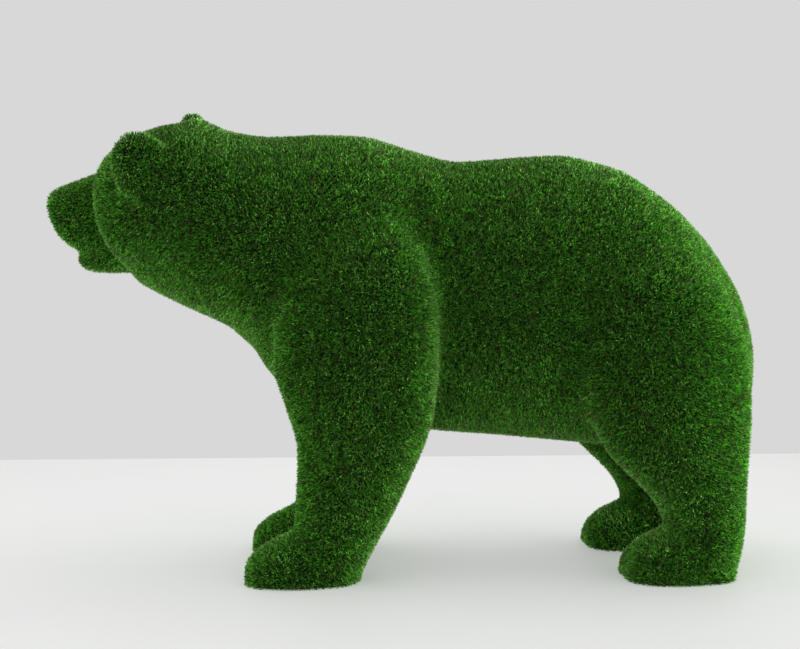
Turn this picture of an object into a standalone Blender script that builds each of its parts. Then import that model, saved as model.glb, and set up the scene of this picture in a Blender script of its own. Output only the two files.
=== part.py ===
"""Topiary bear: a standing bear, its head turned to its right, covered all over in artificial grass.

It is drawn on a grid, as a sculptor's maquette is, and enlarged to LENGTH, WIDTH and HEIGHT.
The bear faces -X and its left side is at -Y. The origin is on the floor, under the middle of its box.
"""

import math

import bmesh
import bpy
from mathutils import Matrix, Vector

# Driving sizes, in metres
LENGTH = 2.22
WIDTH = 0.79
HEIGHT = 1.425

# The drawing's own sizes, in squares of its grid
DRAWN_LENGTH, DRAWN_WIDTH, DRAWN_HEIGHT = 222, 79, 142.5

RING_POINTS = 24

# How finely the trunk with its legs, and then the head and paws, are melted into one skin, and how often eased
BODY_VOXEL, HEAD_VOXEL = LENGTH / 170, LENGTH / 220
BODY_SMOOTHING, HEAD_SMOOTHING = 13, 5
MOST_TRIANGLES = 9400
SLIVER = 0.0005

# Trunk sections, from the rump to the chest: place along the bear, top, bottom, half width, level of the widest
TRUNK = (
    (109.3, 72.5, 52, 9, 63),
    (107.2, 81, 45, 19, 63),
    (103.4, 90.5, 41, 26, 64),
    (95.4, 102.8, 38, 31, 66),
    (85.0, 113.8, 37, 34.5, 68),
    (70.0, 124.4, 37, 33.5, 72),
    (52.0, 129.3, 38.5, 31.2, 74),
    (42.0, 128.8, 39.5, 32, 74),
    (32.0, 127.8, 40.6, 31, 76),
    (16.0, 126.5, 41.5, 27.5, 80),
    (2.0, 130.5, 43, 26, 88),
    (-10.0, 134.5, 44, 30.5, 92),
    (-24.0, 135, 46, 31.5, 92),
    (-34.0, 134.5, 52.4, 30, 92),
    (-44.0, 134, 64, 26.5, 98),
)

# Neck sections, from the withers to the skull: place, side offset, top, bottom, half width, level of the widest
NECK = (
    (-10.0, 0, 133, 60, 28, 95),
    (-28.0, 0, 134.5, 58, 30, 95),
    (-42.0, 0, 134, 64.7, 29, 98),
    (-54.0, 1, 135.7, 75.5, 27.5, 102),
    (-64.0, 2, 141, 79.6, 25.5, 107),
    (-74.0, 4, 134.5, 84.2, 22.5, 109),
    (-84.0, 6, 127, 89.4, 16.5, 108),
)

# The head's pose: where its middle is, and how it turns to the right, nods and leans to the left, in degrees
HEAD_AT = (-70, 1, 115)
HEAD_TURN, HEAD_NOD, HEAD_LEAN = 25, 11, 14

# Skull and muzzle sections, along the head: distance ahead of its middle, half width, rise, drop
SKULL = (
    (-21, 15, 14, 14),
    (-14, 20.5, 20, 20),
    (-4, 23, 23, 22.5),
    (6, 23.2, 22.5, 23),
    (13, 22.3, 20.9, 21.8),
    (17.7, 20.2, 18.6, 19.2),
    (20.1, 15.8, 14.6, 15),
    (20.8, 10.2, 9.6, 11),
)

# The skull's front is melted in again with the muzzle, so that its edge round the muzzle stays crisp
FACE = SKULL[2:]

MUZZLE_ROUNDNESS = 0.72
MUZZLE = (
    (8, 11.5, 14, 10),
    (22, 10.5, 14, 10),
    (31, 10.2, 13.2, 9.8),
    (37, 9.9, 12.8, 9),
    (40.4, 9.3, 12.6, 6),
    (42.3, 7.8, 12, 2),
    (43, 5.4, 10.6, -2),
)
JAW = (
    (6, 10.5, -4, 20.5),
    (20, 10, -5, 19.5),
    (29, 9, -6, 18.2),
    (35, 7.8, -7.5, 16.8),
    (38.6, 5.6, -9, 15),
    (39.8, 3.4, -10, 13.8),
)

# Ears: the middle of each in the head's frame (ahead, to the side, up), the right one pricked forward and up,
# their half sizes (depth, thickness, height), how round they are in thickness (1 is a true oval and less is
# boxier), and the turn in degrees that stands their front edges off the head
EAR_AT = {"left": (-1.9, 18.8, 12.9), "right": (-2.7, 18.2, 13.3)}
EAR_HALF = (9, 4.6, 11.1)
EAR_ROUNDNESS = 0.8
EAR_FLARE = 42

# Leg sections, from the top down: level, place, side offset, half depth, half width, and how far behind
# its middle the section is widest, so that the upper arm's rear edge stands off the flank
FORELEG = (
    (118, -15, 10, 12, 9, 0),
    (108, -15, 16.5, 17, 12, 3),
    (98, -14.5, 21.8, 20.8, 13.4, 8),
    (88, -14, 24.8, 23, 14, 12),
    (76, -14.6, 25.8, 24.2, 14, 14),
    (63, -15.4, 25.8, 24.7, 13.8, 13),
    (50, -13.4, 25.4, 21.9, 13.2, 9),
    (41, -13.3, 24.9, 19.2, 12.5, 6),
    (31, -15.6, 24.4, 17, 11.8, 3),
    (21, -18.1, 24, 15.1, 11.3, 1),
    (12, -21, 23.8, 12.9, 11.3, 0),
    (3, -24, 23.6, 11, 12, 0),
    (-8, -25, 23.6, 10.5, 12, 0),
)
HIND_LEG = (
    (108, 72, 9, 10, 8, 0),
    (99, 72.5, 17, 16.5, 11.5, 0),
    (88, 73.5, 22.3, 22.5, 14.2, 0),
    (74, 76, 24.8, 26, 15, 0),
    (58, 78, 25.2, 26.4, 14.6, 0),
    (46, 80.5, 25.2, 24, 14, 0),
    (37, 82.4, 25, 21.6, 13, 0),
    (30, 86, 24.9, 17.3, 12.5, 0),
    (23, 89.3, 24.8, 13.8, 12.2, 0),
    (16, 90.8, 24.6, 12.2, 12, 0),
    (8, 90, 24.6, 12, 12.5, 0),
    (-8, 86, 24.6, 10.5, 12.5, 0),
)

# Paw sections, from heel to toe: place, side offset, height, half width
FORE_PAW = (
    (-16.6, 23.8, 5, 7),
    (-19, 23.8, 11, 11),
    (-26, 23.8, 15.5, 13.2),
    (-34, 23.8, 14.8, 14),
    (-41, 23.8, 11.8, 13.2),
    (-45.6, 23.8, 8.5, 10.8),
    (-47.8, 23.8, 5.5, 7),
)
HIND_PAW = (
    (98.5, 24.8, 6, 8),
    (94.5, 24.8, 13, 12),
    (87, 24.8, 16, 14.2),
    (79, 24.8, 15.2, 15),
    (72, 24.8, 12.3, 14),
    (67.8, 24.8, 9, 11.4),
    (65.8, 24.8, 5.5, 7.8),
)
PAW_DEPTH = 12

# How far each hind leg steps forward
HIND_STEP = {"left": 0, "right": 2.1}


def to_size(x, y, z):
    """A point of the drawing's grid, in metres at the bear's real size."""
    return Vector((x * LENGTH / DRAWN_LENGTH, y * WIDTH / DRAWN_WIDTH, z * HEIGHT / DRAWN_HEIGHT))


def oval(half_width, rise, drop, roundness=1):
    """A ring's points as (side, up), with its own rise above and drop below the widest level, boxier if less round."""
    for step in range(RING_POINTS):
        angle = 2 * math.pi * step / RING_POINTS
        side, up = (math.copysign(abs(part) ** roundness, part) for part in (math.sin(angle), math.cos(angle)))
        yield half_width * side, up * (rise if up > 0 else drop)


def loft(name, rings):
    """A closed body through rings of as many points each, with both ends filled."""
    shape = bmesh.new()
    rows = [[shape.verts.new(to_size(*point)) for point in ring] for ring in rings]
    for row, after in zip(rows, rows[1:]):
        for i, corner in enumerate(row):
            beside = i - 1
            shape.faces.new((row[beside], corner, after[i], after[beside]))
    shape.faces.new(rows[0])
    shape.faces.new(rows[-1][::-1])
    bmesh.ops.recalc_face_normals(shape, faces=shape.faces)
    mesh = bpy.data.meshes.new(name)
    shape.to_mesh(mesh)
    shape.free()
    body = bpy.data.objects.new(name, mesh)
    forms.objects.link(body)
    return body


def trunk_rings():
    for x, top, bottom, half_width, widest in TRUNK:
        yield [(x, side, widest + up) for side, up in oval(half_width, top - widest, widest - bottom)]


def neck_rings():
    for x, offset, top, bottom, half_width, widest in NECK:
        yield [(x, offset + side, widest + up) for side, up in oval(half_width, top - widest, widest - bottom)]


def head_frame():
    """Carries a point (ahead, to the right, up) of the head to the drawing's grid."""
    turn = Matrix.Rotation(math.radians(-HEAD_TURN), 4, "Z")
    nod = Matrix.Rotation(math.radians(-HEAD_NOD), 4, "Y")
    lean = Matrix.Rotation(math.radians(HEAD_LEAN), 4, "X")
    return Matrix.Translation(HEAD_AT) @ turn @ nod @ lean


def head_rings(sections, roundness=1):
    frame = head_frame()
    for ahead, half_width, rise, drop in sections:
        middle = (rise - drop) / 2
        half_height = (rise + drop) / 2
        ring = oval(half_width, half_height, half_height, roundness)
        yield [frame @ Vector((-ahead, side, middle + up)) for side, up in ring]


def leg_rings(sections, hand, step=0):
    for z, x, offset, half_depth, half_width, behind in sections:
        ring = oval(half_width, half_depth - behind, half_depth + behind)
        yield [(x - step + behind + back, hand * offset + side, z) for side, back in ring]


def paw_rings(sections, hand, step=0):
    for x, offset, height, half_width in sections:
        yield [(x - step, hand * offset + side, up) for side, up in oval(half_width, height, PAW_DEPTH)]


def ear(name, hand, place):
    """A rounded flap whose front edge stands off the head."""
    shape = bmesh.new()
    bmesh.ops.create_uvsphere(shape, u_segments=24, v_segments=16, radius=1)
    flare = Matrix.Rotation(math.radians(-hand * EAR_FLARE), 4, "Z")
    ahead, side, up = place
    middle = Matrix.Translation((-ahead, hand * side, up))
    placed = head_frame() @ middle @ flare @ Matrix.Diagonal((*EAR_HALF, 1))
    for corner in shape.verts:
        corner.co.y = math.copysign(abs(corner.co.y) ** EAR_ROUNDNESS, corner.co.y)
        corner.co = to_size(*(placed @ corner.co))
    mesh = bpy.data.meshes.new(name)
    shape.to_mesh(mesh)
    shape.free()
    body = bpy.data.objects.new(name, mesh)
    forms.objects.link(body)
    return body


def grass():
    """Artificial grass: short green polyethylene blades, matt from a step away."""
    material = bpy.data.materials.new("artificial_grass")
    material.use_nodes = True
    shader = material.node_tree.nodes["Principled BSDF"]
    shader.inputs["Base Color"].default_value = (0.05, 0.16, 0.02, 1)
    shader.inputs["Roughness"].default_value = 0.8
    shader.inputs["Metallic"].default_value = 0
    return material


def melted(bodies, voxel, smoothing_passes):
    """One skin over these bodies, as fine as the voxel and with its joints eased, in place of the bodies."""
    whole = bmesh.new()
    for body in bodies:
        whole.from_mesh(body.data)
        bpy.data.objects.remove(body)
    mesh = bpy.data.meshes.new("melted")
    whole.to_mesh(mesh)
    whole.free()
    skin = bpy.data.objects.new("melted", mesh)
    forms.objects.link(skin)
    remesh = skin.modifiers.new("one skin", "REMESH")
    remesh.mode = "VOXEL"
    remesh.voxel_size = voxel
    smooth = skin.modifiers.new("eased joints", "SMOOTH")
    smooth.factor = 0.5
    smooth.iterations = smoothing_passes
    return baked(skin)


def baked(skin):
    """The object with its modifiers made part of its mesh."""
    bpy.context.view_layer.update()
    evaluated = skin.evaluated_get(bpy.context.evaluated_depsgraph_get())
    mesh = bpy.data.meshes.new_from_object(evaluated)
    skin.modifiers.clear()
    skin.data = mesh
    return skin


def thinned(skin):
    """The same skin in as many triangles as a faceted solid may have."""
    decimate = skin.modifiers.new("fewer faces", "DECIMATE")
    decimate.ratio = MOST_TRIANGLES / (2 * len(skin.data.polygons))
    return baked(skin)


def stand_on_floor(mesh):
    """Cuts the skin flat at the floor, fills its four soles and puts the origin under the middle of its box."""
    shape = bmesh.new()
    shape.from_mesh(mesh)
    everything = shape.verts[:] + shape.edges[:] + shape.faces[:]
    bmesh.ops.bisect_plane(shape, geom=everything, dist=SLIVER, plane_co=(0, 0, 0), plane_no=(0, 0, 1), clear_inner=True)
    rim = [edge for edge in shape.edges if edge.is_boundary]
    for edge in rim:
        for corner in edge.verts:
            corner.co.z = 0
    bmesh.ops.holes_fill(shape, edges=rim, sides=0)
    bmesh.ops.recalc_face_normals(shape, faces=shape.faces)
    middles = [(min(places) + max(places)) / 2 for places in zip(*(corner.co.xy for corner in shape.verts))]
    bmesh.ops.translate(shape, vec=(-middles[0], -middles[1], 0), verts=shape.verts)
    shape.to_mesh(mesh)
    shape.free()


for old in list(bpy.data.objects):
    bpy.data.objects.remove(old)
bear = bpy.data.collections.new("topiary bear")
forms = bpy.data.collections.new("forms")
for collection in (bear, forms):
    bpy.context.scene.collection.children.link(collection)

body = [loft("trunk", trunk_rings()), loft("neck", neck_rings()), loft("skull", head_rings(SKULL))]
head = [loft("face", head_rings(FACE))]
head += [loft("muzzle", head_rings(MUZZLE, MUZZLE_ROUNDNESS)), loft("jaw", head_rings(JAW))]
paws = []
for hand, side in ((-1, "left"), (1, "right")):
    head.append(ear("ear_" + side, hand, EAR_AT[side]))
    body.append(loft("foreleg_" + side, leg_rings(FORELEG, hand)))
    body.append(loft("hind_leg_" + side, leg_rings(HIND_LEG, hand, HIND_STEP[side])))
    paws.append(loft("fore_paw_" + side, paw_rings(FORE_PAW, hand)))
    paws.append(loft("hind_paw_" + side, paw_rings(HIND_PAW, hand, HIND_STEP[side])))
trunk_and_legs = melted(body, BODY_VOXEL, BODY_SMOOTHING)
whole = thinned(melted([trunk_and_legs, *head, *paws], HEAD_VOXEL, HEAD_SMOOTHING))

skin = whole.data
bpy.data.objects.remove(whole)
stand_on_floor(skin)
bpy.data.collections.remove(forms)
skin.name = "bear"
skin.materials.clear()
skin.materials.append(grass())
skin.shade_smooth()
bear.objects.link(bpy.data.objects.new("bear", skin))
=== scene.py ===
"""Topiary bear in artificial grass: the turf on its moulded shell, a pale floor and soft studio light."""

import math

import bpy
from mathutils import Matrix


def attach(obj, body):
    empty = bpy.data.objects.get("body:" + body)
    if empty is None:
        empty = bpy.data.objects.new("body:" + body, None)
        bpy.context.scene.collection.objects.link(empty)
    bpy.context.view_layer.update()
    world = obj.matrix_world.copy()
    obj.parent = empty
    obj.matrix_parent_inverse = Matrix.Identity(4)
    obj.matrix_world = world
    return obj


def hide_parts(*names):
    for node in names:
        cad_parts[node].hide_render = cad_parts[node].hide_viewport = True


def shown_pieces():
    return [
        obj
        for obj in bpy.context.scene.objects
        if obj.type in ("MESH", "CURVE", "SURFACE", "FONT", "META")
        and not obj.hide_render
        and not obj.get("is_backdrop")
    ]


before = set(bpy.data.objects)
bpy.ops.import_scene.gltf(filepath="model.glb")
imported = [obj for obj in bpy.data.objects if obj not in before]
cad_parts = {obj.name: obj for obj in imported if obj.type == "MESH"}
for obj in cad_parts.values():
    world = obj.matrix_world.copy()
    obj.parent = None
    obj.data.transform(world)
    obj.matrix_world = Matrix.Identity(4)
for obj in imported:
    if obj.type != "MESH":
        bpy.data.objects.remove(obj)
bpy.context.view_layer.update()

# Camera
# It stands 4.3 m to the bear's left at about waist height, and looks a little down and towards the rump.
# Its place is in metres, and its turn and dip are in degrees.
CAMERA_PLACE = (-0.2328, -4.2625, 0.9276)
CAMERA_TURN = 3.289
CAMERA_DIP = 2.313

bpy.ops.object.select_all(action="DESELECT")
bpy.ops.object.camera_add(
    location=CAMERA_PLACE,
    rotation=(math.radians(90 - CAMERA_DIP), 0, math.radians(-CAMERA_TURN)),
)
camera = bpy.context.object
camera.name = "camera"
camera.data.sensor_width = 36
camera.data.lens = 60.9
bpy.context.scene.camera = camera
bpy.context.scene.view_settings.view_transform = "Standard"
# The denoiser is guided by the blades' colours and normals as they are, because it would blur the pile
# if they were smoothed first.
bpy.context.scene.cycles.denoising_prefilter = "NONE"

# Turf backing
# The figure is a hollow moulded shell, and the turf is glued to it in panels cut to shape.
# What shows between the blades is the turf's backing: dark latex with short curled thatch in it.
# Its surface is the solid's own, smoothed and set in by the height of the pile, and cut flat at the floor.
PILE_HEIGHT = 0.016
FLOOR_GAP = 0.0008
THATCH_PATCH = 0.008
MERGE_DISTANCE = 0.00005
SOLE_HEIGHT = 0.0005
DOWNWARD = -0.9


def linear(colour):
    """The linear colour of an sRGB hex value, with alpha 1."""
    parts = [int(colour[i : i + 2], 16) / 255 for i in (1, 3, 5)]
    return [part / 12.92 if part <= 0.04045 else ((part + 0.055) / 1.055) ** 2.4 for part in parts] + [1]


def add(tree, kind, settings=None, links=None):
    """A new node with its own settings, and its inputs either linked or set."""
    node = tree.nodes.new(kind)
    for name, value in (settings or {}).items():
        setattr(node, name, value)
    for name, value in (links or {}).items():
        if isinstance(value, bpy.types.NodeSocket):
            tree.links.new(value, node.inputs[name])
        else:
            node.inputs[name].default_value = value
    return node


def apply_all(piece):
    """Makes the piece's modifiers part of its mesh."""
    bpy.ops.object.select_all(action="DESELECT")
    piece.select_set(True)
    bpy.context.view_layer.objects.active = piece
    for modifier in list(piece.modifiers):
        bpy.ops.object.modifier_apply(modifier=modifier.name)


def select_faces(piece, wanted):
    """Selects the faces of the piece that wanted(face) names, and leaves the piece in edit mode."""
    bpy.ops.object.select_all(action="DESELECT")
    piece.select_set(True)
    bpy.context.view_layer.objects.active = piece
    bpy.ops.object.mode_set(mode="EDIT")
    bpy.ops.mesh.select_mode(type="FACE")
    bpy.ops.mesh.select_all(action="DESELECT")
    bpy.ops.object.mode_set(mode="OBJECT")
    for face in piece.data.polygons:
        face.select = wanted(face)
    bpy.ops.object.mode_set(mode="EDIT")


# Latex backing: matt and nearly black green, with the brown of the thatch in patches about 8 mm across
backing_latex = bpy.data.materials.new("latex turf backing with thatch")
backing_latex.use_nodes = True
tree = backing_latex.node_tree
place = add(tree, "ShaderNodeTexCoord").outputs["Object"]
patches = add(
    tree,
    "ShaderNodeTexNoise",
    links={"Vector": place, "Scale": 1 / THATCH_PATCH, "Detail": 3.0, "Roughness": 0.6},
)
thatch = add(tree, "ShaderNodeValToRGB", links={"Fac": patches.outputs["Fac"]})
stops = thatch.color_ramp.elements
stops[0].color = linear("#142a0a")
stops[1].color = linear("#423c1e")
for at, colour in ((0.36, "#142a0a"), (0.5, "#1c380e"), (0.62, "#2f3816"), (0.72, "#423c1e")):
    stops.new(at).color = linear(colour)
shader = tree.nodes["Principled BSDF"]
shader.inputs["Roughness"].default_value = 0.85
shader.inputs["IOR"].default_value = 1.5
shader.inputs["Specular IOR Level"].default_value = 0.2
tree.links.new(thatch.outputs["Color"], shader.inputs["Base Color"])

cad_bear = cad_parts["bear"]
backing = bpy.data.objects.new("turf_backing", cad_bear.data.copy())
bpy.context.scene.collection.objects.link(backing)
backing.data.materials.clear()
backing.data.materials.append(backing_latex)
select_faces(backing, lambda face: True)
bpy.ops.mesh.remove_doubles(threshold=MERGE_DISTANCE)
bpy.ops.mesh.customdata_custom_splitnormals_clear()
bpy.ops.object.mode_set(mode="OBJECT")
select_faces(backing, lambda face: face.center.z < SOLE_HEIGHT and face.normal.z < DOWNWARD)
bpy.ops.mesh.delete(type="FACE")
bpy.ops.object.mode_set(mode="OBJECT")

rounding = backing.modifiers.new("rounding", "SUBSURF")
rounding.levels = rounding.render_levels = 1
evening = backing.modifiers.new("evening", "SMOOTH")
evening.factor = 0.5
evening.iterations = 3
setting_in = backing.modifiers.new("setting in", "DISPLACE")
setting_in.mid_level = 0
setting_in.strength = -PILE_HEIGHT
apply_all(backing)

# The open rims of the soles go down to the floor and are closed with flat foot plates.
rooting = backing.data.copy()
ends = {}
for face in backing.data.polygons:
    for key in face.edge_keys:
        ends[key] = ends.get(key, 0) + 1
for key, count in ends.items():
    if count == 1:
        for corner in key:
            backing.data.vertices[corner].co.z = FLOOR_GAP
for corner in backing.data.vertices:
    corner.co.z = max(corner.co.z, FLOOR_GAP)
select_faces(backing, lambda face: False)
bpy.ops.mesh.select_mode(type="EDGE")
bpy.ops.mesh.select_non_manifold(extend=False)
bpy.ops.mesh.edge_face_add()
bpy.ops.object.mode_set(mode="OBJECT")
backing.data.shade_smooth()
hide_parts("bear")
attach(backing, "root")

# Grass
# The blades are thin flat polyethylene yarn, tufted through the backing and cut to one height.
# Real yarn is 1 mm wide, too fine to show, so each blade stands for a few that cling together. It is widest
# near its cut end and narrows to its root, because no root shows in so dense a pile.
# Each panel's blades are one piece: head and neck, two shoulders, the trunk and two haunches.
BLADE_LENGTH = 0.021
BLADE_WIDTH = 0.004
WIDEST_AT = 0.7
BLADES_PER_SQUARE_METRE = 140000
LEAST_SCALE, MOST_SCALE = 0.72, 1.12
LEAN = 0.5
SWIRL = 0.26
SWIRL_SIZE = 0.05
DROOP = 0.08
MOTTLE_SCALE = 26.0
MOTTLE_SHARE = 0.7
SPIN_SEED, SCALE_SEED, YARN_SEED = 11, 23, 37

# The blade's map is a palette: across it the yarn's colour is picked, and up it the blade runs
# from root to tip.
PALETTE_STEP = 0.006
PALETTE_RISE = 0.46
PALETTE_FOOT = 0.03
# Shares of the blade's height: where the painted root shade ends, where the painted highlight at the tip
# begins, and how strong that highlight is
PAINTED_SHADE_ENDS_AT = 0.8
PAINTED_HIGHLIGHT_FROM = 0.72
PAINTED_HIGHLIGHT_SHARE = 0.4

# Polyethylene yarn: an even satin plastic, in several greens with brown curled thatch among them.
# Towards its root it is darkened with painted green shade, and towards its cut end it is paled with a
# painted highlight, where the light would catch it.
yarn = bpy.data.materials.new("polyethylene grass yarn")
yarn.use_nodes = True
tree = yarn.node_tree
palette = add(tree, "ShaderNodeUVMap", {"uv_map": "palette"})
across = add(tree, "ShaderNodeSeparateXYZ", links={"Vector": palette.outputs["UV"]})
greens = add(tree, "ShaderNodeValToRGB", links={"Fac": across.outputs["X"]})
stops = greens.color_ramp.elements
stops[0].color = linear("#5c4c30")
stops[1].color = linear("#98dc5c")
for at, colour in (
    (0.08, "#3c3c1a"),
    (0.14, "#143c02"),
    (0.45, "#288406"),
    (0.75, "#4cb416"),
    (0.92, "#7ad23c"),
):
    stops.new(at).color = linear(colour)
# Painted shade: each blade's colour is darkened towards its root, standing in for the shade deep in the
# pile.
height = add(
    tree,
    "ShaderNodeMapRange",
    {"interpolation_type": "SMOOTHSTEP"},
    {
        "Value": across.outputs["Y"],
        "From Min": PALETTE_FOOT,
        "From Max": PALETTE_FOOT + PALETTE_RISE * PAINTED_SHADE_ENDS_AT,
    },
)
painted_root_shade = add(tree, "ShaderNodeValToRGB", links={"Fac": height.outputs["Result"]})
stops = painted_root_shade.color_ramp.elements
stops[0].color = linear("#3a5628")
stops[1].color = linear("#ffffff")
stops.new(0.6).color = linear("#9cb488")
shaded = add(
    tree,
    "ShaderNodeMix",
    {"data_type": "RGBA", "blend_type": "MULTIPLY"},
    {0: 1.0, 6: greens.outputs["Color"], 7: painted_root_shade.outputs["Color"]},
)
# Painted highlight: each blade is paled towards its cut end, standing in for the light its tip catches.
painted_tip_highlight = add(
    tree,
    "ShaderNodeMapRange",
    {"interpolation_type": "SMOOTHSTEP"},
    {
        "Value": across.outputs["Y"],
        "From Min": PALETTE_FOOT + PALETTE_RISE * PAINTED_HIGHLIGHT_FROM,
        "From Max": PALETTE_FOOT + PALETTE_RISE,
        "To Max": PAINTED_HIGHLIGHT_SHARE,
    },
)
# The yarn's own green, with the painted root shade and the painted tip highlight on it
yarn_colour_with_painted_light = add(
    tree,
    "ShaderNodeMix",
    {"data_type": "RGBA", "blend_type": "MIX"},
    {0: painted_tip_highlight.outputs["Result"], 6: shaded.outputs[2], 7: linear("#b8cc84")},
)
shader = tree.nodes["Principled BSDF"]
shader.inputs["Roughness"].default_value = 0.46
shader.inputs["IOR"].default_value = 1.51
shader.inputs["Specular IOR Level"].default_value = 0.4
tree.links.new(yarn_colour_with_painted_light.outputs[2], shader.inputs["Base Color"])

bpy.ops.object.select_all(action="DESELECT")
bpy.ops.mesh.primitive_circle_add(vertices=3, radius=1, fill_type="NGON")
blade = bpy.context.object
blade.name = "blade"
side, tip, root = blade.data.vertices
side.co = (-BLADE_WIDTH / 2, 0, BLADE_LENGTH * WIDEST_AT)
tip.co = (BLADE_WIDTH / 2, 0, BLADE_LENGTH)
root.co = (0, 0, 0)
blade.data.materials.append(yarn)
map_of_blade = blade.data.uv_layers[0]
map_of_blade.name = "palette"
corners_on_palette = {
    side.index: (0, PALETTE_FOOT + PALETTE_RISE * WIDEST_AT),
    tip.index: (PALETTE_STEP, PALETTE_FOOT + PALETTE_RISE),
    root.index: (PALETTE_STEP / 2, PALETTE_FOOT),
}
for corner in blade.data.loops:
    map_of_blade.data[corner.index].uv = corners_on_palette[corner.vertex_index]

tufting = bpy.data.node_groups.new("tufting", "GeometryNodeTree")
tufting.interface.new_socket("Geometry", in_out="INPUT", socket_type="NodeSocketGeometry")
seed_input = tufting.interface.new_socket("Seed", in_out="INPUT", socket_type="NodeSocketInt")
tufting.interface.new_socket("Geometry", in_out="OUTPUT", socket_type="NodeSocketGeometry")
given = add(tufting, "NodeGroupInput")
roots = add(
    tufting,
    "GeometryNodeDistributePointsOnFaces",
    {"distribute_method": "RANDOM"},
    {"Mesh": given.outputs["Geometry"], "Density": BLADES_PER_SQUARE_METRE, "Seed": given.outputs["Seed"]},
)
here = add(tufting, "GeometryNodeInputPosition").outputs["Position"]

# Each blade leans its own way, and whole patches of pile lean together, as turf does where it was pressed.
own_lean = add(
    tufting,
    "FunctionNodeRandomValue",
    {"data_type": "FLOAT_VECTOR"},
    {"Min": (-LEAN, -LEAN, -LEAN), "Max": (LEAN, LEAN, LEAN), "Seed": given.outputs["Seed"]},
)
patch = add(
    tufting,
    "ShaderNodeTexNoise",
    links={"Vector": here, "Scale": 1 / SWIRL_SIZE, "Detail": 2.0},
)
patch_lean = add(
    tufting,
    "ShaderNodeVectorMath",
    {"operation": "MULTIPLY_ADD"},
    {0: patch.outputs["Color"], 1: (2 * SWIRL, 2 * SWIRL, 2 * SWIRL), 2: (-SWIRL, -SWIRL, -SWIRL - DROOP)},
)
leans = add(
    tufting,
    "ShaderNodeVectorMath",
    links={0: own_lean.outputs[0], 1: patch_lean.outputs["Vector"]},
)
direction = add(
    tufting,
    "ShaderNodeVectorMath",
    links={0: leans.outputs["Vector"], 1: roots.outputs["Normal"]},
)
spin = add(
    tufting,
    "FunctionNodeRandomValue",
    {"data_type": "FLOAT"},
    {2: 0.0, 3: 2 * math.pi, "Seed": SPIN_SEED},
)
spun = add(tufting, "ShaderNodeCombineXYZ", links={"Z": spin.outputs[1]})
stance = add(
    tufting,
    "FunctionNodeAlignRotationToVector",
    {"axis": "Z"},
    {"Rotation": spun.outputs["Vector"], "Vector": direction.outputs["Vector"]},
)
scale = add(
    tufting,
    "FunctionNodeRandomValue",
    {"data_type": "FLOAT"},
    {2: LEAST_SCALE, 3: MOST_SCALE, "Seed": SCALE_SEED},
)

# The pick of yarn: at random, but leaning to one end of the range from patch to patch
mottle = add(
    tufting,
    "ShaderNodeTexNoise",
    links={"Vector": here, "Scale": MOTTLE_SCALE, "Detail": 4.0, "Roughness": 0.6},
)
chance = add(
    tufting,
    "FunctionNodeRandomValue",
    {"data_type": "FLOAT"},
    {2: 0.0, 3: 1.0, "Seed": YARN_SEED},
)
leaning = add(
    tufting,
    "ShaderNodeMath",
    {"operation": "MULTIPLY_ADD"},
    {0: mottle.outputs["Fac"], 1: MOTTLE_SHARE, 2: -MOTTLE_SHARE / 2},
)
picked = add(
    tufting,
    "ShaderNodeMath",
    {"operation": "ADD", "use_clamp": True},
    {0: chance.outputs[1], 1: leaning.outputs[0]},
)
marked = add(
    tufting,
    "GeometryNodeStoreNamedAttribute",
    {"data_type": "FLOAT", "domain": "POINT"},
    {"Geometry": roots.outputs["Points"], "Name": "pick", "Value": picked.outputs[0]},
)
one_blade = add(
    tufting,
    "GeometryNodeObjectInfo",
    {"transform_space": "ORIGINAL"},
    {"Object": blade},
)
tufts = add(
    tufting,
    "GeometryNodeInstanceOnPoints",
    links={
        "Points": marked.outputs["Geometry"],
        "Instance": one_blade.outputs["Geometry"],
        "Rotation": stance.outputs["Rotation"],
        "Scale": scale.outputs[1],
    },
)
real = add(tufting, "GeometryNodeRealizeInstances", links={"Geometry": tufts.outputs["Instances"]})

# No blade goes through the floor: what would is raised to just above it. No point of the bear is as far
# out as BEYOND_ALL, so only heights are raised.
BEYOND_ALL = -9
there = add(tufting, "GeometryNodeInputPosition").outputs["Position"]
raised = add(
    tufting,
    "ShaderNodeVectorMath",
    {"operation": "MAXIMUM"},
    {0: there, 1: (BEYOND_ALL, BEYOND_ALL, FLOOR_GAP)},
)
standing = add(
    tufting,
    "GeometryNodeSetPosition",
    links={"Geometry": real.outputs["Geometry"], "Position": raised.outputs["Vector"]},
)

# Each blade's place on the palette, kept on a map of its own for the material and on another for baking
pick = add(tufting, "GeometryNodeInputNamedAttribute", {"data_type": "FLOAT"}, {"Name": "pick"})
on_blade = add(
    tufting,
    "GeometryNodeInputNamedAttribute",
    {"data_type": "FLOAT_VECTOR"},
    {"Name": "palette"},
)
shift = add(
    tufting,
    "ShaderNodeMath",
    {"operation": "MULTIPLY"},
    {0: pick.outputs[0], 1: 1 - PALETTE_STEP},
)
aside = add(tufting, "ShaderNodeCombineXYZ", links={"X": shift.outputs[0]})
on_palette = add(
    tufting,
    "ShaderNodeVectorMath",
    links={0: on_blade.outputs[0], 1: aside.outputs["Vector"]},
)
latest = standing.outputs["Geometry"]
for map_name in ("OFBake", "palette"):
    stored = add(
        tufting,
        "GeometryNodeStoreNamedAttribute",
        {"data_type": "FLOAT2", "domain": "CORNER"},
        {"Geometry": latest, "Name": map_name, "Value": on_palette.outputs["Vector"]},
    )
    latest = stored.outputs["Geometry"]
bare = add(tufting, "GeometryNodeRemoveAttribute", links={"Geometry": latest, "Name": "pick"})
add(tufting, "NodeGroupOutput", links={"Geometry": bare.outputs["Geometry"]})

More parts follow.
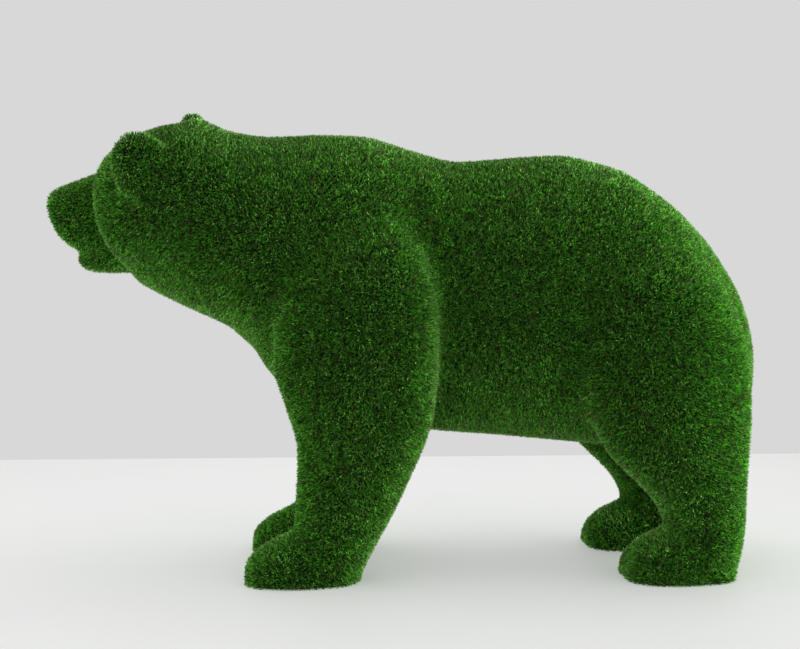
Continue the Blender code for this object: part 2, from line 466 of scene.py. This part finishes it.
# Panels: name, and what part of the skin each one covers, by the place of its faces in metres
NECK_SEAM, RIB_SEAM, HIP_SEAM = -0.56, 0.02, 0.56
PANELS = (
    ("grass_on_head_and_neck", lambda at: at.x < NECK_SEAM),
    ("grass_on_left_shoulder", lambda at: NECK_SEAM <= at.x < RIB_SEAM and at.y < 0),
    ("grass_on_right_shoulder", lambda at: NECK_SEAM <= at.x < RIB_SEAM and at.y >= 0),
    ("grass_on_trunk", lambda at: RIB_SEAM <= at.x < HIP_SEAM),
    ("grass_on_left_haunch", lambda at: at.x >= HIP_SEAM and at.y < 0),
    ("grass_on_right_haunch", lambda at: at.x >= HIP_SEAM and at.y >= 0),
)
for number, (name, covers) in enumerate(PANELS):
    panel = bpy.data.objects.new(name, rooting.copy())
    bpy.context.scene.collection.objects.link(panel)
    select_faces(panel, lambda face: not covers(face.center))
    bpy.ops.mesh.delete(type="FACE")
    bpy.ops.object.mode_set(mode="OBJECT")
    tufted = panel.modifiers.new("tufted", "NODES")
    tufted.node_group = tufting
    tufted[seed_input.identifier] = number + 1
    apply_all(panel)
    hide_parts("bear")
    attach(panel, "root")
bpy.data.objects.remove(blade)

# Floor
# A plain pale floor, painted matt, which ends two metres past the bear's right side.
FLOOR_WIDTH, FLOOR_DEPTH = 14, 12
FLOOR_BACK_EDGE = 2.42

floor_paint = bpy.data.materials.new("matt floor paint")
floor_paint.use_nodes = True
tree = floor_paint.node_tree
place = add(tree, "ShaderNodeTexCoord").outputs["Object"]
roller = add(tree, "ShaderNodeTexNoise", links={"Vector": place, "Scale": 3.0, "Detail": 4.0})
paint = add(tree, "ShaderNodeValToRGB", links={"Fac": roller.outputs["Fac"]})
stops = paint.color_ramp.elements
stops[0].color = linear("#eeeeee")
stops[1].color = linear("#f2f2f1")
shader = tree.nodes["Principled BSDF"]
shader.inputs["Roughness"].default_value = 0.6
tree.links.new(paint.outputs["Color"], shader.inputs["Base Color"])

bpy.ops.object.select_all(action="DESELECT")
bpy.ops.mesh.primitive_plane_add(size=1, location=(0, FLOOR_BACK_EDGE - FLOOR_DEPTH / 2, 0))
floor = bpy.context.object
floor.name = "floor"
floor.scale = (FLOOR_WIDTH, FLOOR_DEPTH, 1)
bpy.ops.object.transform_apply(location=True, rotation=True, scale=True)
floor.data.materials.append(floor_paint)
floor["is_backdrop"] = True

# Studio light
# An even white fill comes from all round. A large soft box to the bear's rear lights the pile from the
# side, and others behind it, before its chest and above it light the tips along its outline, so its left
# side stays deep. Past the floor the camera sees a plain light grey.
STUDIO_GREY = "#d8d8d8"
STUDIO_FILL = 0.6

world = bpy.data.worlds.new("studio light")
bpy.context.scene.world = world
world.cycles.sampling_method = "NONE"
world.use_nodes = True
tree = world.node_tree
for node in list(tree.nodes):
    tree.nodes.remove(node)
seen = add(tree, "ShaderNodeBackground", links={"Color": linear(STUDIO_GREY), "Strength": 1.0})
fill = add(tree, "ShaderNodeBackground", links={"Color": (1, 1, 1, 1), "Strength": STUDIO_FILL})
ray = add(tree, "ShaderNodeLightPath")
chosen = add(
    tree,
    "ShaderNodeMixShader",
    links={0: ray.outputs["Is Camera Ray"], 1: fill.outputs[0], 2: seen.outputs[0]},
)
add(tree, "ShaderNodeOutputWorld", links={"Surface": chosen.outputs[0]})

# The last one evens out the floor alone and casts no shadow, so only a soft one is left under the bear.
turf = bpy.data.collections.new("turf")
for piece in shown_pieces():
    turf.objects.link(piece)
ground = bpy.data.collections.new("ground")
ground.objects.link(floor)

# Soft boxes: name, place, point it faces, width, height, watts, and what it lights if not everything
SOFT_BOXES = (
    ("soft_box_at_the_rump", (4.1, -0.3, 1.0), (0.3, 0, 0.6), 4.4, 2.0, 500, turf),
    ("soft_box_behind_rump", (3.9, 2.6, 0.9), (0.5, 0, 0.6), 2.0, 1.6, 200, turf),
    ("soft_box_before_chest", (-3.6, 1.1, 0.7), (-0.5, 0, 0.6), 1.4, 1.4, 160, turf),
    ("soft_box_above", (0.3, 0.5, 3.6), (0, 0, 0.7), 3.6, 2.4, 12, None),
    ("soft_box_over_floor", (0, 0, 7.0), (0, 0, 0), 8.0, 8.0, 260, ground),
)
for name, place, faced, width, tall, watts, lit in SOFT_BOXES:
    bpy.ops.object.light_add(type="AREA", location=place)
    box = bpy.context.object
    box.name = name
    aim = [b - a for a, b in zip(place, faced)]
    level = math.hypot(aim[0], aim[1])
    box.rotation_euler = (math.atan2(level, -aim[2]), 0, math.atan2(-aim[0], aim[1]))
    box.data.shape = "RECTANGLE"
    box.data.size = width
    box.data.size_y = tall
    box.data.energy = watts
    box.visible_camera = False
    if lit:
        box.light_linking.receiver_collection = lit
    if lit is ground:
        box.light_linking.blocker_collection = ground
